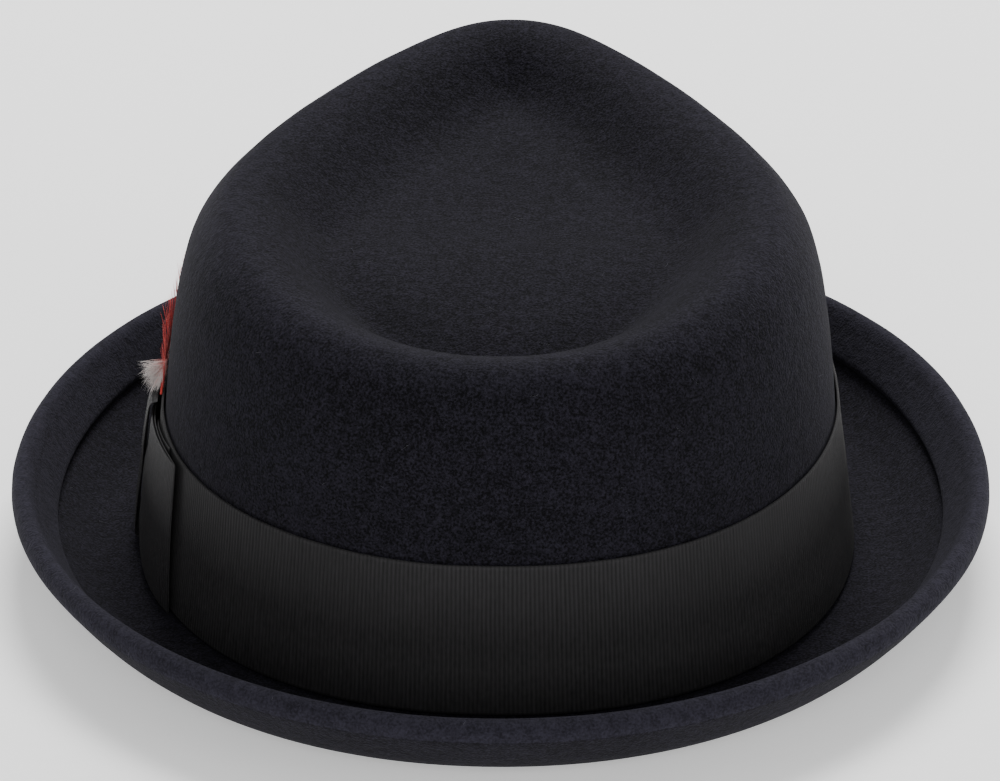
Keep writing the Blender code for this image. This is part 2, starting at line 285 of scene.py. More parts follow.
@dataclass(frozen=True)
class GrosgrainFinish:
    """Ribbed ribbon. Its ribs are in the mesh, and this draws their threads and sheen, with painted shade darkening
    the grooves between them.

    Attributes:
        pitch: width of a rib.
        width: width of the ribbon, for its two edges.
        deep: darkest colour, which the painted shade in the grooves and the darker slubs reach.
        bright: lightest colour, on the ribs and the lighter slubs.
        gloss: lowest roughness of the threads.
    """

    name: str
    pitch: float
    width: float
    deep: Colour = (0.0026, 0.0025, 0.0029)
    bright: Colour = (0.0190, 0.0178, 0.0195)
    gloss: float = 0.50
    thread: float = 0.00024

    def make(self) -> bpy.types.Material:
        """Makes the material."""
        bench = Bench(self.name)
        along, across = bench.laid()
        # 1 on the ribs and 0 in the grooves: it paints shade into the grooves and makes them rougher.
        groove_shading = (along / self.pitch + 0.5).wave()
        threads = (across / self.thread).wave()
        streaks = bench.noise(bench.joined(along * 1500, across * 90), 1.0, 1.0, 0.6)
        slubs = bench.noise(bench.joined(along * 900, across * 500), 1.0, 2.0, 0.7)
        cloudy = bench.noise(bench.place(), 45, 1.0)
        edge = (across < 0.0009).math("MAXIMUM", across < 0.0009, across > self.width - 0.0009)
        # Painted shade darkens the grooves; streaks, slubs, cloud, threads and denser edges are the ribbon's own tone.
        tone = groove_shading * 0.42 + streaks * 0.40 + slubs * 1.05 + cloudy * 0.25 + threads * 0.08 + edge * 0.12
        colour = bench.blend((tone - 0.70).ramp(0.0, 0.85), self.deep, self.bright)
        bench.bump(threads * 0.2 + slubs * 0.8 + streaks * 0.4, 0.0002, 0.8)
        return bench.dress(
            Base_Color=colour,
            Roughness=(self.gloss + slubs * 0.3 + (1 - groove_shading) * 0.1).ramp(0.0, 1.0),
            Specular_IOR_Level=0.32,
            Sheen_Weight=0.03,
            Sheen_Roughness=0.4,
        )


@dataclass(frozen=True)
class PlumeFinish:
    """Feather barbs or down, from the shaft's colour to the tips'. A strand's UV is its chance and its length.

    Attributes:
        root: colour at the shaft.
        middle: colour along the strand.
        tip: colour of its end.
        turning: where along the strand the tip's colour starts.
    """

    name: str
    root: Colour
    middle: Colour
    tip: Colour
    turning: float
    sheen: float = 0.3

    def make(self) -> bpy.types.Material:
        """Makes the material."""
        bench = Bench(self.name)
        chance, along = bench.laid()
        grain = bench.noise(bench.place(), 1800, 1.0, 0.6)
        start = (along + (chance - 0.5) * 0.5).ramp(0.0, self.turning)
        end = (along + (chance - 0.5) * 0.6).ramp(self.turning, 1.0)
        inner = bench.blend(start, self.root, self.middle)
        outer = bench.blend(end, inner, self.tip)
        darker = bench.blend((1 - grain) * 0.35 + chance * 0.12, outer, tuple(part * 0.4 for part in self.middle))
        return bench.dress(
            Base_Color=darker,
            Roughness=(0.62 + grain * 0.3).ramp(0.0, 1.0),
            Specular_IOR_Level=0.35,
            Sheen_Weight=self.sheen,
            Sheen_Roughness=0.4,
        )


@dataclass(frozen=True)
class PlainFinish:
    """Quill, loose lint or the floor: one colour with a fine grain.

    Attributes:
        colour: the main colour.
        scale: how fine the grain is.
        variation: how far it darkens the colour.
        glow: light that it gives of its own.
    """

    name: str
    colour: Colour
    scale: float
    variation: float = 0.12
    roughness: float = 0.8
    glow: float = 0.0

    def make(self) -> bpy.types.Material:
        """Makes the material."""
        bench = Bench(self.name)
        grain = bench.noise(bench.place(), self.scale, 1.0, 0.6)
        darker = tuple(part * (1 - self.variation) for part in self.colour)
        colour = bench.blend(grain.ramp(0.3, 0.7), self.colour, darker)
        return bench.dress(
            Base_Color=colour,
            Roughness=self.roughness,
            Specular_IOR_Level=0.1,
            Emission_Color=(1.0, 1.0, 1.0),
            Emission_Strength=self.glow,
        )


class Ring(NamedTuple):
    """A closed outline round the hat: lengths from its widest line, heights, a front point and two powers."""

    half: float
    rear: float
    front: float
    z_rear: float
    z_side: float
    z_front: float
    point: float = 0.0
    rear_power: float = 2.15
    front_power: float = 2.15

    def grown(self, distance: float) -> "Ring":
        """The ring moved outwards in plan."""
        return self._replace(half=self.half + distance, rear=self.rear + distance, front=self.front + distance)

    def mixed(self, other: "Ring", share: float) -> "Ring":
        """Ring part of the way to the other."""
        return Ring(*(mixed(a, b, share) for a, b in zip(self, other)))

    def run_to(self, other: "Ring") -> float:
        """Mean distance to the other ring at the rear, the side and the front."""
        rear = math.hypot(other.rear - self.rear, other.z_rear - self.z_rear)
        side = math.hypot(other.half - self.half, other.z_side - self.z_side)
        front = math.hypot(other.front - self.front, other.z_front - self.z_front)
        return (rear + side + front) / 3


class WallRow(NamedTuple):
    """One level of the crown's wall, in shares of the block's sizes."""

    lift: float
    side_in: float
    rear_in: float
    front_in: float
    tilt: float
    point: float


WALL_ROWS = (
    WallRow(0.11, 0.05, 0.00, 0.03, 0.00, 0.00),
    WallRow(0.24, 0.13, 0.01, 0.08, 0.00, 0.00),
    WallRow(0.43, 0.25, 0.05, 0.18, 0.00, 0.06),
    WallRow(0.58, 0.32, 0.14, 0.26, 0.16, 0.16),
    WallRow(0.71, 0.40, 0.27, 0.36, 0.40, 0.32),
    WallRow(0.82, 0.50, 0.42, 0.48, 0.63, 0.50),
    WallRow(0.91, 0.63, 0.60, 0.62, 0.83, 0.70),
    WallRow(0.97, 0.82, 0.79, 0.82, 0.95, 0.90),
    WallRow(1.00, 1.00, 1.00, 1.00, 1.00, 1.00),
)

DENT_ROWS = ((0.18, 0.04), (0.38, 0.20), (0.58, 0.50), (0.78, 0.80), (1.00, 1.00))
FLOOR_SHARES = (0.72, 0.42, 0.18, 0.01)
BREAK_STEPS = 4


def smoothed(keys: Sequence[Ring], spacing: float) -> list[Ring]:
    """Rings on a smooth curve through the given ones.

    Args:
        keys: rings that the curve passes through.
        spacing: longest distance between two rings of the result.

    Returns:
        The rings, the first and the last key among them.
    """
    before = keys[0].mixed(keys[1], -1.0)
    after = keys[-1].mixed(keys[-2], -1.0)
    line = [before, *keys, after]
    knots = [0.0]
    for one, other in zip(line, line[1:]):
        knots.append(knots[-1] + max(1e-6, one.run_to(other)) ** 0.5)
    made = []
    for index in range(1, len(line) - 2):
        count = max(1, math.ceil(line[index].run_to(line[index + 1]) / spacing))
        for step in range(count):
            place = mixed(knots[index], knots[index + 1], step / count)
            made.append(through(line[index - 1 : index + 3], knots[index - 1 : index + 3], place))
    made.append(keys[-1])
    return made


def through(rings: Sequence[Ring], knots: Sequence[float], place: float) -> Ring:
    """Ring at a place on the smooth curve through four rings, between the middle two."""
    level = list(rings)
    for reach in (1, 2):
        level = [
            level[index].mixed(level[index + 1], (place - knots[index]) / (knots[index + reach] - knots[index]))
            for index in range(4 - reach)
        ]
    return level[0].mixed(level[1], (place - knots[1]) / (knots[2] - knots[1]))


@dataclass
class HatBlock:
    """Form of the felt's inner side: head oval, crown, teardrop dent and brim.

    Attributes:
        felt: thickness of the felt.
        clearance: gap between things that lie on each other.
        head_half, head_rear, head_front: oval of the foot of the crown, over the felt.
        break_radius: turn from the crown to the brim, on the inner side.
        rows: smooth rings of the inner side, from the middle of the dent to the brim.
    """

    felt: float = 0.0028
    clearance: float = 0.0003
    head_half: float = 0.086
    head_rear: float = 0.093
    head_front: float = 0.106
    head_power: float = 2.15
    point_ease: float = 1.5
    break_radius: float = 0.0034
    crest_half: float = 0.064
    crest_rear: float = 0.077
    crest_front: float = 0.095
    crest_point: float = 0.40
    crest_heights: tuple[float, float, float] = (0.084, 0.092, 0.100)
    floor_half: float = 0.041
    floor_rear: float = 0.054
    floor_front: float = 0.072
    floor_point: float = 0.25
    floor_power: float = 1.35
    dent_depths: tuple[float, float, float] = (0.014, 0.012, 0.014)
    floor_dome: float = 0.002
    reaches: tuple[float, float, float] = (0.0345, 0.0328, 0.033)
    rises: tuple[float, float, float] = (0.0165, 0.0185, 0.0165)
    curls: tuple[float, float, float] = (2.2, 1.6, 1.6)
    brim_power: float = 2.02
    flat_share: float = 0.32
    waver: float = 0.00022
    rows: list[Ring] = field(init=False)
    levels: list[float] = field(init=False)
    wall: list[Ring] = field(init=False)

    def __post_init__(self) -> None:
        """Works out the smooth rings."""
        keys = [self.floor_ring(share) for share in reversed(FLOOR_SHARES)]
        keys += [self.dent_ring(*row) for row in reversed(DENT_ROWS)]
        crest_at = len(keys)
        keys += [self.wall_ring(row) for row in reversed(WALL_ROWS)]
        keys += self.break_rings()
        self.rows = smoothed(keys, 0.0017)
        top = keys[crest_at]
        first = min(range(len(self.rows)), key=lambda index: self.rows[index].run_to(top))
        self.wall = self.rows[first:][::-1]
        self.levels = [ring.z_side for ring in self.wall]

    @property
    def middle_y(self) -> float:
        """How far the oval's widest line lies from the middle of the hat."""
        return (self.head_front + self.reaches[2] - self.head_rear - self.reaches[0]) / 2

    def spot(self, ring: Ring, turn: float) -> Vector:
        """Point of a ring at a turn, with the slight unevenness of blocked felt."""
        along, across = math.cos(turn), math.sin(turn)
        behind = along > 0
        length, end_z = (ring.rear, ring.z_rear) if behind else (ring.front, ring.z_front)
        power = 2 / (ring.rear_power if behind else ring.front_power)
        narrowing = 1 - ring.point * max(0.0, -along) ** self.point_ease
        x = ring.half * math.copysign(abs(across) ** power, across) * narrowing
        y = length * math.copysign(abs(along) ** power, along) + self.middle_y
        z = mixed(ring.z_side, end_z, along * along)
        point = Vector((x, y, z))
        stray = self.waver * eased(0.006, 0.03, z)
        return point + stray * noise.noise_vector(point * 32.0) + 0.35 * stray * noise.noise_vector(point * 110.0)

    def inner_head(self) -> Ring:
        """Oval of the head opening inside the felt."""
        level = self.break_radius
        thin = self.felt
        return Ring(self.head_half - thin, self.head_rear - thin, self.head_front - thin, level, level, level)

    def crest(self) -> Ring:
        """Top of the crown's edge, on the inner side."""
        heights = (height - self.felt for height in self.crest_heights)
        return Ring(self.crest_half, self.crest_rear, self.crest_front, *heights, self.crest_point)

    def wall_ring(self, row: WallRow) -> Ring:
        """Ring of the crown's wall for a row of the table."""
        foot, top = self.inner_head(), self.crest()
        level = top.z_side * row.lift
        return Ring(
            mixed(foot.half, top.half, row.side_in),
            mixed(foot.rear, top.rear, row.rear_in),
            mixed(foot.front, top.front, row.front_in),
            level + (top.z_rear - top.z_side) * row.tilt,
            level,
            level + (top.z_front - top.z_side) * row.tilt,
            top.point * row.point,
        )

    def floor_edge(self) -> Ring:
        """Edge of the dent's floor."""
        top = self.crest()
        heights = (z - deep for z, deep in zip((top.z_rear, top.z_side, top.z_front), self.dent_depths))
        lengths = (self.floor_half, self.floor_rear, self.floor_front)
        return Ring(*lengths, *heights, self.floor_point, self.head_power, self.floor_power)

    def dent_ring(self, inward: float, drop: float) -> Ring:
        """Ring of the dent's wall, by its shares of the way in and of the depth."""
        top, floor = self.crest(), self.floor_edge()
        heights = {key: mixed(getattr(top, key), getattr(floor, key), drop) for key in ("z_rear", "z_side", "z_front")}
        return top.mixed(floor, inward)._replace(**heights)

    def floor_ring(self, share: float) -> Ring:
        """Ring of the dent's slightly domed floor."""
        edge = self.floor_edge()
        middle = (edge.z_rear + edge.z_front) / 2 + self.floor_dome
        bend = share * share
        return edge._replace(
            half=edge.half * share,
            rear=edge.rear * share,
            front=edge.front * share,
            z_rear=mixed(middle, edge.z_rear, bend),
            z_side=mixed(middle, edge.z_side, bend),
            z_front=mixed(middle, edge.z_front, bend),
        )

    def break_rings(self) -> list[Ring]:
        """Rings of the rounded turn from the crown's wall to the brim."""
        foot = self.inner_head()
        rings = []
        for step in range(BREAK_STEPS + 1):
            angle = math.pi / 2 * step / BREAK_STEPS
            level = self.break_radius * (1 - math.sin(angle))
            turned = foot.grown(self.break_radius * (1 - math.cos(angle)))
            rings.append(turned._replace(z_rear=level, z_side=level, z_front=level))
        return rings

    def brim_ring(self, share: float) -> Ring:
        """Ring of the brim's under side at a share of its reach."""
        run = max(0.0, (share - self.flat_share) / (1 - self.flat_share))
        heads = (self.head_rear, self.head_half, self.head_front)
        rear, half, front = (head + reach * share for head, reach in zip(heads, self.reaches))
        heights = (rise * run**curl for rise, curl in zip(self.rises, self.curls))
        power = mixed(self.head_power, self.brim_power, share)
        return Ring(half, rear, front, *heights, 0.0, power, power)

    def wall_ring_at(self, level: float) -> Ring:
        """Ring of the crown's inner side at a height at its sides."""
        high = min(len(self.levels) - 1, max(1, bisect.bisect(self.levels, level)))
        low = high - 1
        share = (level - self.levels[low]) / (self.levels[high] - self.levels[low])
        return self.wall[low].mixed(self.wall[high], share)

    def outside(self, turn: float, height: float, out: float) -> Vector:
        """Point over the crown's wall.

        Args:
            turn: angle from the rear.
            height: height of the point.
            out: distance off the felt's outer side.

        Returns:
            The point.
        """
        level = height
        for _ in range(2):
            ring = self.wall_ring_at(level)
            here = self.spot(ring, turn)
            around = self.spot(ring, turn + 0.01) - here
            rise = self.spot(self.wall_ring_at(level + 0.001), turn) - here
            normal = rise.cross(around).normalized()
            level = height - (self.felt + out) * normal.z
        return here + normal * (self.felt + out)


def keep(name: str, mesh_data: bmesh.types.BMesh, material: bpy.types.Material) -> bpy.types.Object:
    """Makes a finished piece of a bmesh and lets it ride with the hat.

    Args:
        name: name of the piece.
        mesh_data: its shape, which is freed.
        material: its finish.

    Returns:
        The piece.
    """
    mesh = bpy.data.meshes.new(name)
    mesh_data.to_mesh(mesh)
    mesh_data.free()
    mesh.materials.append(material)
    mesh.shade_smooth()
    piece = bpy.data.objects.new(name, mesh)
    bpy.context.scene.collection.objects.link(piece)
    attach(piece, BODY)
    return piece


def report(*made: bpy.types.Object) -> None:
    """Logs each piece with its number of faces."""
    for piece in made:
        LOG.info("%s: %d faces", piece.name, len(piece.data.polygons))


def copies(mesh_data: bmesh.types.BMesh, count: int) -> list[list[bmesh.types.BMVert]]:
    """Duplicates what a bmesh holds until it has a number of copies.

    Args:
        mesh_data: bmesh with one prototype.
        count: how many are wanted.

    Returns:
        The vertices of each copy, in the prototype's order.
    """
    size = len(mesh_data.verts)
    corner = mesh_data.verts.layers.int.new("corner")
    number = mesh_data.verts.layers.int.new("number")
    for place, vert in enumerate(mesh_data.verts):
        vert[corner] = place
    made = 1
    while made < count:
        wanted = min(made, count - made)
        chosen = [vert for vert in mesh_data.verts if vert[number] < wanted]
        faces = {face for vert in chosen for face in vert.link_faces}
        for part in bmesh.ops.duplicate(mesh_data, geom=[*chosen, *faces])["geom"]:
            if isinstance(part, bmesh.types.BMVert):
                part[number] += made
        made += wanted
    groups = [[None] * size for _ in range(count)]
    for vert in mesh_data.verts:
        groups[vert[number]][vert[corner]] = vert
    return groups


def spike(sides: int, joints: int) -> bmesh.types.BMesh:
    """A unit strand along +Z with a unit radius at its foot, drawn to a point, with a UV map for its length."""
    mesh_data = bmesh.new()
    bmesh.ops.create_circle(mesh_data, segments=sides, radius=1.0, cap_ends=True)
    ring = list(mesh_data.edges)
    for joint in range(1, joints + 1):
        made = bmesh.ops.extrude_edge_only(mesh_data, edges=ring)["geom"]
        ring = [part for part in made if isinstance(part, bmesh.types.BMEdge) and part.is_boundary]
        ends = {vert for edge in ring for vert in edge.verts}
        share = joint / (joints + 1)
        slim = (1 - 0.75 * share) / (1 - 0.75 * (joint - 1) / (joints + 1))
        bmesh.ops.scale(mesh_data, vec=(slim, slim, 1.0), verts=list(ends))
        bmesh.ops.translate(mesh_data, vec=(0.0, 0.0, 1 / (joints + 1)), verts=list(ends))
    cap = bmesh.ops.contextual_create(mesh_data, geom=ring)["faces"]
    tip = bmesh.ops.poke(mesh_data, faces=cap)["verts"]
    bmesh.ops.translate(mesh_data, vec=(0.0, 0.0, 1 / (joints + 1)), verts=tip)
    bmesh.ops.recalc_face_normals(mesh_data, faces=mesh_data.faces)
    mesh_data.loops.layers.uv.new("strand")
    return mesh_data


@dataclass(frozen=True)
class Strand:
    """Where one hair, barb or lock of down goes.

    Attributes:
        root: its foot.
        way: direction that it starts in.
        droop: how far its tip is pulled off that line, for a length of one.
        length, thickness: its size.
        flat: how much wider than thick it is.
        chance: number from 0 to 1 that shades it.
    """

    root: Vector
    way: Vector
    droop: Vector
    length: float
    thickness: float
    flat: float
    chance: float
    side: Vector | None = None


def planted(prototype: bmesh.types.BMesh, strands: Sequence[Strand]) -> bmesh.types.BMesh:
    """Puts one copy of a unit strand at each place and bends it.

    Args:
        prototype: the unit strand, which becomes the result.
        strands: where they go.

    Returns:
        The bmesh with all strands.
    """
    layer = prototype.loops.layers.uv.active
    for strand, verts in zip(strands, copies(prototype, len(strands))):
        side = strand.side or strand.way.orthogonal()
        side = (side - strand.way * side.dot(strand.way)).normalized()
        thin = strand.way.cross(side)
        for vert in verts:
            x, y, share = vert.co
            for loop in vert.link_loops:
                loop[layer].uv = (strand.chance, share)
            middle = strand.root + (strand.way * share + strand.droop * share * share) * strand.length
            radius = strand.thickness / 2
            vert.co = middle + side * (x * radius * strand.flat) + thin * (y * radius)
    return prototype


@dataclass
class FeltBody:
    """Crown and brim in one piece of felt, with the edge folded back over the brim as a welt.

    Attributes:
        block: the form that the felt was pulled over.
        columns: points round the hat.
        welt: width of the folded edge.
        fold: the fold's outline, as lengths past the edge and up from the under side.
        raw_edge: thickness of the felt near the welt's raw edge, by distance from it, in felts.
    """

    block: HatBlock
    columns: int = 300
    welt: float = 0.0077
    fold: tuple[tuple[float, float], ...] = (
        (0.0012, 0.00560),
        (0.0021, 0.00510),
        (0.0027, 0.00430),
        (0.0029, 0.00330),
        (0.0027, 0.00230),
        (0.0020, 0.00130),
        (0.0011, 0.00050),
        (0.0004, 0.00008),
    )
    raw_edge: tuple[tuple[float, float], ...] = (
        (-0.0030, 1.00),
        (-0.0012, 0.97),
        (-0.0005, 0.90),
        (-0.0001, 0.84),
        (0.0001, 1.40),
        (0.0003, 1.62),
        (0.0007, 1.74),
        (0.0014, 1.82),
        (0.0030, 1.92),
        (0.0060, 2.00),
    )
    crest_sheen: float = 0.35
    outer: list[list[Vector]] = field(init=False, default_factory=list)

    def stations(self) -> list[tuple[Ring, float, float]]:
        """Rings of the inner side from the dent's middle to the fold, each with a thickness and a share of painted
        sheen.
        """
        block = self.block
        made = []
        top = block.crest()
        for ring in block.rows:
            # Painted sheen on the crest, fading out within 12 mm of it.
            sheen_share = self.crest_sheen * eased(0.012, 0.0, ring.run_to(top)) if ring.run_to(top) < 0.012 else 0.0
            made.append((ring, block.felt, sheen_share))
        start = 1 - self.welt / block.reaches[1]
        shares = [0.05 + 0.045 * step for step in range(12)]
        near = [(start + run / block.reaches[1], thick) for run, thick in self.raw_edge]
        flat = [share for share in shares if share < near[0][0] - 0.02]
        for share in flat:
            made.append((block.brim_ring(share), block.felt, 0.0))
        # Painted sheen: half strength where the welt doubles the felt, then from 0.3 to 0.7 out to the edge.
        for share, thick in near:
            made.append((block.brim_ring(share), block.felt * thick, 0.5 if thick > 1.1 else 0.0))
        rest = near[-1][0]
        for step in range(1, 8):
            share = mixed(rest, 1.0, step / 7)
            made.append((block.brim_ring(share), block.felt * 2, mixed(0.3, 0.7, step / 7)))
        return made

    def rows(self) -> list[tuple[list[Vector], float]]:
        """Rows of points over the felt's whole section, each with its share of painted sheen."""
        block = self.block
        stations = self.stations()
        turns = [FULL_TURN * column / self.columns for column in range(self.columns)]
        under = [[block.spot(ring, turn) for turn in turns] for ring, _, _ in stations]
        top = []
        for index, (_, thick, sheen_share) in enumerate(stations):
            before, after = under[max(0, index - 1)], under[min(len(under) - 1, index + 1)]
            row = []
            for column in range(self.columns):
                run = after[column] - before[column]
                around = under[index][(column + 1) % self.columns] - under[index][column - 1]
                row.append(under[index][column] + around.cross(run).normalized() * thick)
            top.append((row, sheen_share))
        edge, inward = under[-1], under[-2]
        rim = [[] for _ in self.fold]
        for column in range(self.columns):
            out = (edge[column] - inward[column]).normalized()
            around = (edge[(column + 1) % self.columns] - edge[column - 1]).normalized()
            up = around.cross(out)
            for row, (past, lift) in zip(rim, self.fold):
                row.append(edge[column] + out * past + up * lift)
        self.outer = [row for row, _ in top] + rim
        back = [(row, 0.0) for row in under[::-1][::2]]
        if back[-1][0] is not under[0]:
            back.append((under[0], 0.0))
        # Strong painted sheen on the rounded fold, none on the under side.
        return top + [(row, 0.8) for row in rim] + back

    def build(self, material: bpy.types.Material) -> bpy.types.Object:
        """Pulls the felt ring by ring over the block and round its edge."""
        rows = self.rows()
        mesh_data = bmesh.new()
        column_of = mesh_data.verts.layers.int.new("column")
        # Vertex mask of painted sheen, read by the felt's material.
        worn = mesh_data.verts.layers.float.new("worn")
        bmesh.ops.create_circle(mesh_data, cap_ends=True, cap_tris=True, segments=self.columns, radius=1.0)
        middle = sum(rows[0][0], Vector()) / self.columns
        for vert in mesh_data.verts:
            turn = math.atan2(vert.co.x, vert.co.y)
            vert[column_of] = round(turn / FULL_TURN * self.columns) % self.columns
            vert.co = rows[0][0][vert[column_of]] if vert.co.length > 0.5 else middle
        ring = [edge for edge in mesh_data.edges if edge.is_boundary]
        for row, sheen_share in rows[1:]:
            made = bmesh.ops.extrude_edge_only(mesh_data, edges=ring)["geom"]
            ring = [part for part in made if isinstance(part, bmesh.types.BMEdge) and part.is_boundary]
            for part in made:
                if isinstance(part, bmesh.types.BMVert):
                    part.co = row[part[column_of]]
                    part[worn] = sheen_share
        cap = bmesh.ops.contextual_create(mesh_data, geom=ring)["faces"]
        bmesh.ops.poke(mesh_data, faces=cap)
        bmesh.ops.recalc_face_normals(mesh_data, faces=mesh_data.faces)
        piece = keep("felt_shell", mesh_data, material)
        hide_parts("felt_body")
        return piece

    def scattered(self, count: int, luck: random.Random) -> list[tuple[Vector, Vector]]:
        """Random places on the felt's outer side.

        Args:
            count: how many.
            luck: seeded source of chance.

        Returns:
            A point and the felt's direction outwards for each.
        """
        total, sums = 0.0, []
        cells = []
        for index, (row, after) in enumerate(zip(self.outer, self.outer[1:])):
            for column in range(0, self.columns, 3):
                across = row[(column + 3) % self.columns] - row[column]
                total += (after[column] - row[column]).cross(across).length
                sums.append(total)
                cells.append((index, column))
        places = []
        for _ in range(count):
            index, column = cells[bisect.bisect(sums, luck.random() * total)]
            side = (column + 3) % self.columns
            row, after = self.outer[index], self.outer[index + 1]
            u, v = luck.random(), luck.random()
            low, high = row[column].lerp(row[side], u), after[column].lerp(after[side], u)
            normal = (row[side] - row[column]).cross(high - low).normalized()
            places.append((low.lerp(high, v), normal))
        return places


@dataclass
class Nap:
    """Loose fibres that stand off the felt, and light lint that has settled on it.

    Attributes:
        felt: the felt that they stand on.
        fibres: number of fibres.
        lengths: shortest and longest fibre.
        thickness: thickness of a fibre.
        lint: number of lint hairs.
    """

    felt: FeltBody
    fibres: int = 14000
    lengths: tuple[float, float] = (0.0004, 0.0011)
    thickness: float = 0.000034
    lint: int = 150
    seed: int = 11

    def strands(self, count: int, lengths: tuple[float, float], lift: float, thickness: float) -> list[Strand]:
        """Fibres at random places that lean at random.

        Args:
            count: how many.
            lengths: shortest and longest.
            lift: how upright they stand, from 0 to 1.
            thickness: their thickness.

        Returns:
            The fibres.
        """
        luck = random.Random(self.seed + count)
        made = []
        for point, normal in self.felt.scattered(count, luck):
            aside = Vector((luck.gauss(0, 1), luck.gauss(0, 1), luck.gauss(0, 1)))
            aside = (aside - normal * aside.dot(normal)).normalized()
            way = (normal * luck.uniform(lift * 0.4, lift) + aside * luck.uniform(0.3, 1.0)).normalized()
            bend = aside.cross(normal) * luck.uniform(-0.5, 0.5) - normal * luck.uniform(0.0, 0.25) * lift
            length = luck.uniform(*lengths)
            made.append(Strand(point, way, bend, length, thickness, 1.0, luck.random()))
        return made

    def build(self, felt: bpy.types.Material, lint: bpy.types.Material) -> list[bpy.types.Object]:
        """Makes the fibres and the lint."""
        fibres = planted(spike(3, 0), self.strands(self.fibres, self.lengths, 1.0, self.thickness))
        hairs = planted(spike(3, 3), self.strands(self.lint, (0.0008, 0.0036), 0.12, self.thickness * 1.5))
        nap = keep("felt_nap", fibres, felt)
        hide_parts("felt_body")
        return [nap, keep("felt_lint", hairs, lint)]


class Hold(Enum):
    STRETCHED = "stretched"
    FOLDED = "folded"


@dataclass
class Ribbon:
    """A length of grosgrain, woven flat and then laid on the hat.

    Attributes:
        name: name of the piece.
        length, width: its cut size.
        lay: gives the place of a point on it, from its shares along and across and its height off the ribbon's face.
        thickness: thickness between the ribs.
        pitch: width of a rib.
        relief: height of a rib.
        steps: points along each rib.
        rows: points across the ribbon.
        closed: whether its ends meet.
    """

    name: str
    length: float
    width: float
    lay: Callable[[float, float, float], Vector]
    thickness: float = 0.0005
    pitch: float = 0.001
    relief: float = 0.00016
    steps: int = 4
    rows: int = 10
    closed: bool = False

    def across(self, share: float) -> float:
        """Share across the width with points gathered at both edges."""
        ends = 0.022
        inner = (share * self.rows - 1) / (self.rows - 2)
        if share * self.rows < 1:
            return ends * share * self.rows
        if share * self.rows > self.rows - 1:
            return 1 - ends * (1 - share) * self.rows
        return mixed(ends, 1 - ends, inner)

    def height(self, along: float, across: float) -> float:
        """Height of the ribs at a place, lower at the two edges."""
        wave = 0.5 - 0.5 * math.cos(FULL_TURN * along * self.length / self.pitch)
        edge = min(across, 1 - across) * self.width
        return self.relief * wave**0.6 * mixed(0.25, 1.0, eased(0.0, 0.0009, edge))

    def build(self, material: bpy.types.Material, slot: str) -> bpy.types.Object:
        """Weaves and lays the ribbon.

        Args:
            material: its finish.
            slot: the record's slot; not used.

        Returns:
            The piece.
        """
        mesh_data = bmesh.new()
        ribs = round(self.length / self.pitch)
        bmesh.ops.create_grid(mesh_data, x_segments=ribs * self.steps, y_segments=self.rows, size=0.5)
        layer = mesh_data.loops.layers.uv.new("ribbon")
        for vert in mesh_data.verts:
            along, across = vert.co.x + 0.5, self.across(min(1.0, max(0.0, vert.co.y + 0.5)))
            for loop in vert.link_loops:
                loop[layer].uv = (along * self.length, across * self.width)
            vert.co = self.lay(along, across, self.height(along, across))
        if self.closed:
            bmesh.ops.remove_doubles(mesh_data, verts=mesh_data.verts, dist=1e-6)
        bmesh.ops.recalc_face_normals(mesh_data, faces=mesh_data.faces)
        self.face_out(mesh_data)
        piece = keep(self.name, mesh_data, material)
        wall = piece.modifiers.new("wall", "SOLIDIFY")
        wall.thickness = self.thickness
        wall.offset = -1.0
        return piece

    def face_out(self, mesh_data: bmesh.types.BMesh) -> None:
        """Turns the ribbon's face to the side that its ribs rise to."""
        probe = (0.31, 0.47)
        rise = self.lay(*probe, self.relief) - self.lay(*probe, 0.0)
        here = self.lay(*probe, 0.0)
        nearest = min(mesh_data.faces, key=lambda face: (face.calc_center_median() - here).length)
        if nearest.normal.dot(rise) < 0:
            bmesh.ops.reverse_faces(mesh_data, faces=mesh_data.faces)


@dataclass
class RibbonBand:
    """Grosgrain ribbon round the foot of the crown.

    Attributes:
        block: the hat's form.
        foot: height of its lower edge.
        width: its stock width.
        thickness: how far its face stands off its back.
    """

    block: HatBlock
    foot: float = 0.0040
    width: float = 0.038
    thickness: float = 0.0008
    turns: list[float] = field(init=False, default_factory=list)
    runs: list[float] = field(init=False, default_factory=list)

    def __post_init__(self) -> None:
        """Measures the way round the crown, so that the ribs are evenly spaced."""
        steps = 720
        middle = self.foot + self.width / 2
        self.turns = [FULL_TURN * step / steps + 0.485 * math.pi for step in range(steps + 1)]
        points = [self.block.outside(turn, middle, self.thickness) for turn in self.turns]
        self.runs = [0.0]
        for one, other in zip(points, points[1:]):
            self.runs.append(self.runs[-1] + (other - one).length)

    @property
    def length(self) -> float:
        """Length round the crown."""
        return self.runs[-1]

    def turn_at(self, share: float) -> float:
        """Turn at a share of the way round from the bow."""
        run = share * self.length
        high = min(len(self.runs) - 1, max(1, bisect.bisect(self.runs, run)))
        part = (run - self.runs[high - 1]) / (self.runs[high] - self.runs[high - 1])
        return mixed(self.turns[high - 1], self.turns[high], part)

    def lay(self, along: float, across: float, lift: float) -> Vector:
        """Place of a point of the band."""
        out = self.block.clearance + self.thickness - 0.00016 + lift
        return self.block.outside(self.turn_at(along), self.foot + self.width * across, out)

    def build(self, material: bpy.types.Material) -> bpy.types.Object:
        """Makes the band."""
        ribs = round(self.length / 0.001)
        ribbon = Ribbon("grosgrain_band", self.length, self.width, self.lay, pitch=self.length / ribs, closed=True)
        piece = ribbon.build(material, "band_ribbon")
        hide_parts("hat_band")
        return piece


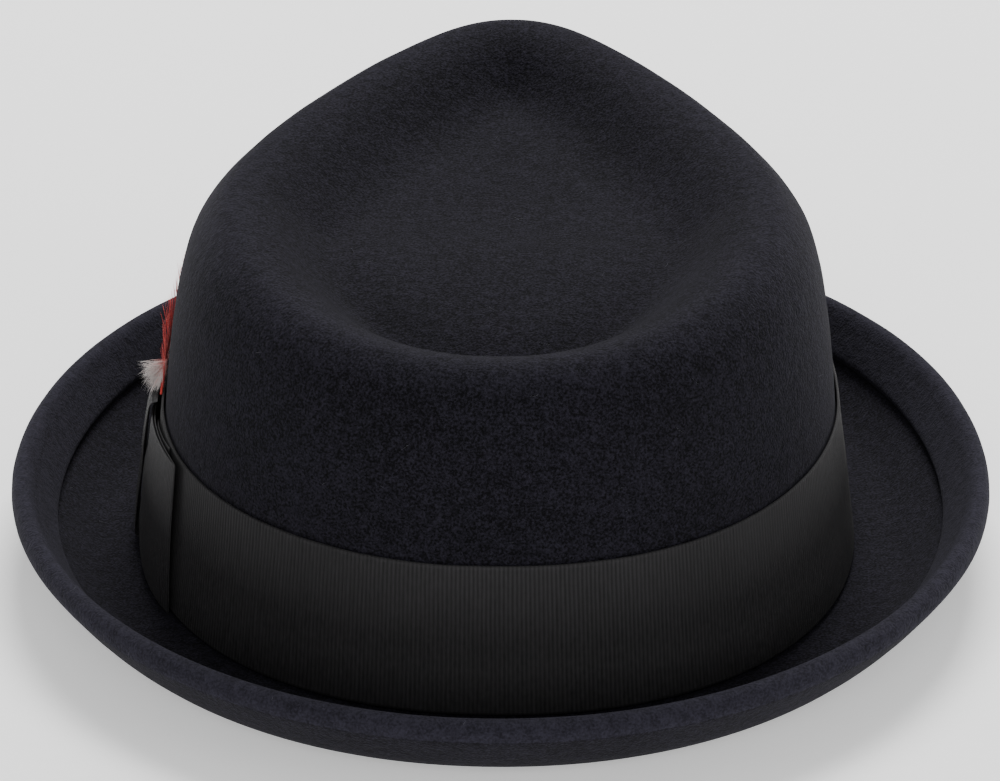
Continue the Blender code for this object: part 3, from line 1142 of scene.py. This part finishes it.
def curve_through(points: Sequence[tuple[float, float]], count: int, closed: bool) -> list[tuple[float, float]]:
    """Evenly spaced points on a smooth curve.

    Args:
        points: points that it passes through.
        count: number of steps of the result.
        closed: whether the curve ends where it starts.

    Returns:
        The points, one more than the steps.
    """
    total = len(points)
    fine = []
    spans = total if closed else total - 1
    for index in range(spans):
        near = []
        for offset in (-1, 0, 1, 2):
            at = index + offset
            near.append(points[at % total] if closed else points[min(total - 1, max(0, at))])
        for step in range(24):
            t = step / 24
            weights = (
                -0.5 * t + t * t - 0.5 * t**3,
                1 - 2.5 * t * t + 1.5 * t**3,
                0.5 * t + 2 * t * t - 1.5 * t**3,
                -0.5 * t * t + 0.5 * t**3,
            )
            fine.append(tuple(sum(w * p[axis] for w, p in zip(weights, near)) for axis in (0, 1)))
    fine.append(points[0] if closed else points[-1])
    runs = [0.0]
    for one, other in zip(fine, fine[1:]):
        runs.append(runs[-1] + math.dist(one, other))
    made = []
    for step in range(count + 1):
        run = runs[-1] * step / count
        high = min(len(runs) - 1, max(1, bisect.bisect(runs, run)))
        share = (run - runs[high - 1]) / max(1e-12, runs[high] - runs[high - 1])
        made.append(tuple(mixed(a, b, min(1.0, share)) for a, b in zip(fine[high - 1], fine[high])))
    return made


@dataclass
class SideBow:
    """Flat bow on the wearer's left: a tail under two loops, gathered by a knot.

    Attributes:
        band: the band that it is sewn on.
        turn: where round the hat its middle is.
        ribbon: thickness of its ribbon.
        reach: how far each loop reaches from the middle.
        depth: how far the loops stand open.
        height: height of the loops.
        pinch: how much the knot draws them together.
        crown: how far the middle of the loops' height bulges.
        slant: how far the rear loop's lower corner hangs back.
    """

    band: RibbonBand
    turn: float = 0.485 * math.pi
    ribbon: float = 0.0003
    reach: float = 0.0435
    depth: float = 0.0010
    crown: float = 0.0005
    height: float = 0.037
    pinch: float = 0.0045
    slant: float = 0.005
    knot_width: float = 0.014
    tail_length: float = 0.0435
    tail_slant: float = 0.010

    @property
    def block(self) -> HatBlock:
        """The hat's form."""
        return self.band.block

    @property
    def over_band(self) -> float:
        """How far off the felt the first layer over the band starts."""
        return 2 * self.block.clearance + self.band.thickness

    @property
    def under_loops(self) -> float:
        """How far off the felt the loops start."""
        return self.over_band + self.ribbon + self.block.clearance

    @property
    def middle(self) -> float:
        """Height of the middle of the band."""
        return self.band.foot + self.band.width / 2

    def seat(self, along: float, height: float, out: float) -> Vector:
        """Point by its distance towards the front, its height and its distance off the felt."""
        mean = (self.block.head_rear + self.block.head_front) / 2
        return self.block.outside(self.turn + along / mean, height, out)

    def loop_path(self) -> list[tuple[float, float]]:
        """The loops seen from above: distance to the front and off the felt, once round."""
        under, over = self.under_loops + self.ribbon, self.under_loops + self.depth
        outline = ((0.0, 0.70), (0.2, 0.85), (0.45, 1.0), (0.7, 1.0), (0.9, 0.88), (0.99, 0.62))
        rear_under = [(-self.reach * share, under) for share, _ in outline[:-1]]
        tip = mixed(under, over, 0.35)
        rear_tip = [(-self.reach, tip)]
        rear_over = [(-self.reach * share, mixed(under, over, bulge)) for share, bulge in outline[::-1]]
        front_over = [(self.reach * share, mixed(under, over, bulge)) for share, bulge in outline[1:]]
        front_tip = [(self.reach, tip)]
        front_under = [(self.reach * share, under) for share, _ in outline[-2:0:-1]]
        return rear_under + rear_tip + rear_over + front_over + front_tip + front_under

    def build_loops(self, material: bpy.types.Material) -> bpy.types.Object:
        """Two loops in one closed strip, with the small gathers that the knot makes."""
        path = self.loop_path()
        fine = curve_through(path, 2400, True)
        length = sum(math.dist(one, other) for one, other in zip(fine, fine[1:]))
        ribs = round(length / 0.001)

        def lay(along: float, across: float, lift: float) -> Vector:
            """Place of a point of the loops."""
            at = along * 2400
            low = min(2399, int(at))
            run, out = (mixed(a, b, at - low) for a, b in zip(fine[low], fine[low + 1]))
            share = run / self.reach
            level = across - 0.5
            spread = self.height - 2 * self.pinch * (1 - min(1.0, abs(share))) ** 2
            hang = self.slant * (0.5 - level) * share**4 if share < 0 else 0.0
            bulge = self.crown * (1 - (2 * level) ** 2)
            near = max(0.0, 1 - abs(share) / 0.75) ** 2
            outer = eased(0.4, 1.0, (out - self.under_loops) / self.depth)
            gather = 0.00035 * near * outer * math.cos(FULL_TURN * 2.5 * level + 0.8 * math.copysign(1, share))
            ahead = fine[min(2400, low + 8)]
            back = fine[max(0, low - 8)]
            lean = Vector((ahead[0] - back[0], ahead[1] - back[1])).normalized()
            aside, up = lean.y * lift, -lean.x * lift
            if self.loops_turn_left(fine):
                aside, up = -aside, -up
            return self.seat(run - aside - hang, self.middle + level * spread, out - up + gather + bulge)

        ribbon = Ribbon("bow_loop_ribbon", length, self.height, lay, self.ribbon * 0.7, length / ribs, closed=True)
        piece = ribbon.build(material, "bow_ribbon")
        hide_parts("bow_loops")
        return piece

    @staticmethod
    def loops_turn_left(path: Sequence[tuple[float, float]]) -> bool:
        """Whether a closed path runs anticlockwise."""
        return sum(a[0] * b[1] - b[0] * a[1] for a, b in zip(path, path[1:])) > 0

    def build_knot(self, material: bpy.types.Material) -> bpy.types.Object:
        """Strip that wraps the middle of the bow and tucks in over and under it."""
        near = self.over_band + self.ribbon + 0.0003
        far = self.under_loops + self.depth + self.crown + self.block.clearance + 0.0004
        foot = self.band.foot + self.block.clearance
        head = self.band.foot + self.band.width - self.block.clearance
        curl = self.pinch * 0.6
        path = (
            (head - curl * 0.05, near),
            (head - curl * 0.30, mixed(near, far, 0.7)),
            (head - curl * 1.10, far),
            (mixed(head, self.middle, 0.55), far + 0.0003),
            (self.middle, far + 0.0001),
            (mixed(foot, self.middle, 0.55), far + 0.0003),
            (foot + curl * 1.10, far),
            (foot + curl * 0.30, mixed(near, far, 0.7)),
            (foot + curl * 0.05, near),
        )
        fine = curve_through(path, 800, False)
        length = sum(math.dist(one, other) for one, other in zip(fine, fine[1:]))

        def lay(along: float, across: float, lift: float) -> Vector:
            """Place of a point of the knot."""
            at = along * 800
            low = min(799, int(at))
            height, out = (mixed(a, b, at - low) for a, b in zip(fine[low], fine[low + 1]))
            side = across - 0.5
            waist = 1 - 0.10 * math.cos(math.pi * (along - 0.5)) ** 2
            pleat = 0.00022 * math.cos(FULL_TURN * 2 * side) * math.sin(math.pi * along)
            edge = -0.0005 * (2 * abs(side)) ** 4 * math.sin(math.pi * along)
            return self.seat(self.knot_width * side * waist, height, out + pleat + edge + lift)

        ribbon = Ribbon("bow_knot_ribbon", length, self.knot_width, lay, self.ribbon * 0.7, length / round(length / 0.001))
        piece = ribbon.build(material, "bow_ribbon")
        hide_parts("bow_knot")
        return piece

    def build_tail(self, material: bpy.types.Material) -> bpy.types.Object:
        """Ribbon end under the rear loop, cut on the slant."""
        start = 0.2

        def lay(along: float, across: float, lift: float) -> Vector:
            """Place of a point of the tail."""
            level = across - 0.5
            reach = self.tail_length - self.tail_slant * across
            share = mixed(start, 1.0, along)
            spread = mixed(self.band.width * 0.6, self.band.width - 2 * self.block.clearance, share**0.7)
            out = self.over_band + self.ribbon - 0.00016 + lift
            return self.seat(-reach * share, self.middle + level * spread, out)

        length = self.tail_length * (1 - start)
        ribbon = Ribbon("bow_tail_ribbon", length, self.band.width, lay, self.ribbon * 0.7)
        piece = ribbon.build(material, "bow_ribbon")
        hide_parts("bow_tail")
        area = 0.8 * self.band.width * (self.tail_length - self.tail_slant / 2) * (1 - start)
        return piece

    def build(self, material: bpy.types.Material) -> list[bpy.types.Object]:
        """Makes the bow from the band outwards."""
        return [self.build_tail(material), self.build_loops(material), self.build_knot(material)]


@dataclass
class Feather:
    """Red feather tucked behind the bow, with a tuft of down at its foot.

    Attributes:
        bow: the bow that it stands behind.
        along: how far towards the front its foot is.
        length, width: size of the vane.
        lean: how far it leans to the front.
        barbs: barbs on each side of the shaft.
        down: number of down strands.
        flare: how far the barbs' tips stand off the crown.
        tuft: length of the locks of down.
    """

    bow: SideBow
    along: float = -0.003
    length: float = 0.050
    width: float = 0.012
    lean: float = math.radians(62)
    barbs: int = 230
    down: int = 620
    flare: float = 0.0024
    tuft: float = 0.0072
    seed: int = 5

    @property
    def foot(self) -> float:
        """Height that the feather rises from."""
        return self.bow.band.foot + self.bow.band.width

    def on_vane(self, share: float, side: float, out: float) -> Vector:
        """Point on the vane.

        Args:
            share: share of the way up the shaft.
            side: distance to the front side of the shaft.
            out: distance off the felt.

        Returns:
            The point.
        """
        up = self.length * share * math.cos(self.lean) - side * math.sin(self.lean)
        along = self.along + self.length * share * math.sin(self.lean) + side * math.cos(self.lean)
        return self.bow.seat(along, self.foot + 0.0004 + max(-0.002, up), out)

    def half_width(self, share: float) -> float:
        """Half the vane's width at a share of its length."""
        belly = math.sin(math.pi * min(1.0, share + 0.04) ** 0.72) ** 0.55 if share < 0.96 else 0.25
        return self.width / 2 * max(0.18, belly)

    def build_vane(self, material: bpy.types.Material) -> bpy.types.Object:
        """Barbs on both sides of the shaft, split here and there so that its edge is ragged."""
        luck = random.Random(self.seed)
        strands = []
        for side in (-1, 1):
            clump = 0.0
            for index in range(self.barbs):
                if index % 9 == 0:
                    clump = luck.uniform(-0.10, 0.10)
                share = mixed(0.02, 0.99, index / self.barbs)
                reach = self.half_width(share) * luck.uniform(0.86, 1.08)
                out = 0.0009 + luck.uniform(0.0, 0.0003)
                root = self.on_vane(share, 0.0, out)
                sweep = 0.9 + clump
                flare = self.flare * (0.35 + luck.random()) * eased(0.0, 0.2, share) * (0.5 + 0.5 * abs(clump) * 10)
                lift = out + flare if side < 0 else out + 0.4 * flare
                tip = self.on_vane(min(1.05, share + sweep * reach / self.length), side * reach, lift)
                across = tip - root
                up = self.on_vane(min(1.0, share + 0.02), 0.0, out) - root
                normal = up.cross(across).normalized()
                bulge = normal * (0.04 * side) + up.normalized() * 0.12
                length = across.length
                way = (across / length - bulge).normalized()
                strands.append(Strand(root, way, bulge, length, 0.00012, 3.2, luck.random(), up))
        piece = keep("feather_blade", planted(spike(4, 4), strands), material)
        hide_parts("feather_vane")
        return piece

    def build_shaft(self, material: bpy.types.Material) -> bpy.types.Object:
        """Tapered quill up the middle of the vane."""
        mesh_data = spike(8, 22)
        side = self.on_vane(0.5, 0.001, 0.001) - self.on_vane(0.5, 0.0, 0.001)
        side.normalize()
        for vert in mesh_data.verts:
            x, y, share = vert.co
            middle = self.on_vane(mixed(-0.02, 0.97, share), 0.0, 0.0013)
            outward = self.on_vane(max(0.0, share * 0.97), 0.0, 0.0023) - self.on_vane(max(0.0, share * 0.97), 0.0, 0.0013)
            vert.co = middle + side * (x * 0.00034) + outward.normalized() * (y * 0.00030)
        return keep("feather_shaft", mesh_data, material)

    def build_down(self, material: bpy.types.Material) -> bpy.types.Object:
        """Soft locks that fan out of the feather's foot."""
        luck = random.Random(self.seed + 1)
        core = self.bow.seat(0.0015, self.foot + 0.0052, 0.0006)
        strands = []
        locks = [self.lock_way(luck) for _ in range(24)]
        for index in range(self.down):
            way, reach = locks[index % len(locks)]
            jitter = Vector((luck.gauss(0, 0.09), luck.gauss(0, 0.09), luck.gauss(0, 0.09)))
            start = core + Vector((luck.uniform(0.0, 0.8), luck.uniform(-1, 1), luck.uniform(-1, 1))) * 0.0011
            length = reach * luck.uniform(0.45, 1.05)
            droop = Vector((-0.04, luck.uniform(-0.1, 0.25), luck.uniform(-0.40, 0.05)))
            direction = (way + jitter).normalized()
            strands.append(Strand(start, direction, droop, length, 0.00014, 1.6, luck.random()))
        piece = keep("feather_down_tuft", planted(spike(3, 3), strands), material)
        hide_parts("feather_tuft")
        return piece

    def lock_way(self, luck: random.Random) -> tuple[Vector, float]:
        """Direction and length of one lock of down: outwards, to the rear and mostly down."""
        drop = luck.uniform(-0.25, 1.45)
        way = Vector((math.cos(drop) * 0.85, luck.uniform(0.0, 0.55), -math.sin(drop)))
        return way.normalized(), self.tuft * luck.uniform(0.75, 1.0)

    def build(
        self, red: bpy.types.Material, quill: bpy.types.Material, down: bpy.types.Material
    ) -> list[bpy.types.Object]:
        """Makes the blade, the shaft and the down."""
        return [self.build_vane(red), self.build_shaft(quill), self.build_down(down)]


@dataclass(frozen=True)
class SoftLight:
    """A square softbox aimed at the hat."""

    name: str
    place: tuple[float, float, float]
    size: float
    power: float

    def hang(self) -> None:
        """Puts the light up."""
        lamp = bpy.data.lights.new(self.name, "AREA")
        lamp.energy = self.power
        lamp.size = self.size
        holder = bpy.data.objects.new(self.name, lamp)
        bpy.context.scene.collection.objects.link(holder)
        holder.location = self.place
        aim = Vector((0.0, 0.0, 0.05)) - Vector(self.place)
        holder.rotation_euler = aim.to_track_quat("-Z", "Y").to_euler()


@dataclass
class Studio:
    """Pale floor, soft lights and the camera at the photograph's angle."""

    azimuth: float = 181.8
    elevation: float = 26.0
    roll: float = 0.2
    distance: float = 1.0
    target: tuple[float, float, float] = (0.0003, 0.00575, 0.0400)
    lens: float = 148.14
    glow: float = 0.42
    lights: tuple[SoftLight, ...] = (
        SoftLight("overhead", (-0.10, -1.00, 1.5), 0.9, 46.0),
        SoftLight("behind_camera", (0.0, 2.2, 1.1), 1.4, 27.0),
        SoftLight("right_side", (-1.5, 0.9, 0.7), 0.6, 4.0),
    )

    def lay_floor(self) -> None:
        """Wide round floor."""
        mesh_data = bmesh.new()
        bmesh.ops.create_circle(mesh_data, cap_ends=True, segments=96, radius=6.0)
        mesh = bpy.data.meshes.new("floor")
        mesh_data.to_mesh(mesh)
        mesh_data.free()
        mesh.materials.append(PlainFinish("pale_floor", (0.90, 0.90, 0.90), 400, 0.02, 0.9, 0.40).make())
        floor = bpy.data.objects.new("floor", mesh)
        bpy.context.scene.collection.objects.link(floor)

    def set_glow(self) -> None:
        """Plain white surroundings."""
        world = bpy.data.worlds.new("studio")
        bpy.context.scene.world = world
        world.use_nodes = True
        around = world.node_tree.nodes["Background"]
        around.inputs[0].default_value = (1.0, 1.0, 1.0, 1.0)
        around.inputs[1].default_value = self.glow

    def place_camera(self) -> None:
        """Camera at the photograph's angle."""
        lens = bpy.data.cameras.new("camera")
        camera = bpy.data.objects.new("camera", lens)
        bpy.context.scene.collection.objects.link(camera)
        around, up_angle, roll = map(math.radians, (self.azimuth, self.elevation, self.roll))
        flat = math.cos(up_angle)
        back = Vector((math.sin(around) * flat, -math.cos(around) * flat, math.sin(up_angle)))
        right = Vector((math.cos(around), math.sin(around), 0.0))
        up = back.cross(right)
        rolled_right = right * math.cos(roll) + up * math.sin(roll)
        rolled_up = up * math.cos(roll) - right * math.sin(roll)
        axes = Matrix((rolled_right, rolled_up, back)).transposed().to_4x4()
        camera.matrix_world = Matrix.Translation(Vector(self.target) + back * self.distance) @ axes
        lens.sensor_width = 36.0
        lens.lens = self.lens
        lens.clip_end = 100.0
        bpy.context.scene.camera = camera

    def build(self) -> None:
        """Sets the studio up."""
        self.place_camera()
        self.lay_floor()
        self.set_glow()
        for light in self.lights:
            light.hang()


def main() -> None:
    """Builds the studio and the hat."""
    logging.basicConfig(level=logging.INFO, format="%(message)s")
    noise.seed_set(NOISE_SEED)
    Studio().build()
    block = HatBlock()
    wool = FeltFinish().make()
    felt = FeltBody(block)
    report(felt.build(wool))
    # Painted sheen: the loose fibres are lighter than the felt, so that they light up as a fuzz along the outline.
    sheen_fibres = PlainFinish("felt_fibres", (0.020, 0.020, 0.027), 900, 0.5)
    report(*Nap(felt).build(sheen_fibres.make(), PlainFinish("lint", (0.13, 0.13, 0.15), 900).make()))
    band = RibbonBand(block)
    report(band.build(GrosgrainFinish("band_grosgrain", 0.001, band.width).make()))
    bow = SideBow(band)
    report(*bow.build(GrosgrainFinish("bow_grosgrain", 0.001, bow.height, gloss=0.36).make()))
    red = PlumeFinish("red_barbs", (0.30, 0.012, 0.012), (0.66, 0.034, 0.030), (0.84, 0.090, 0.065), 0.6)
    down = PlumeFinish("white_down", (0.62, 0.16, 0.14), (0.78, 0.66, 0.63), (0.80, 0.77, 0.75), 0.45)
    quill = PlainFinish("quill", (0.55, 0.06, 0.05), 700, 0.3, 0.5)
    report(*Feather(bow).build(red.make(), quill.make(), down.make()))


if __name__ == "__main__":
    main()
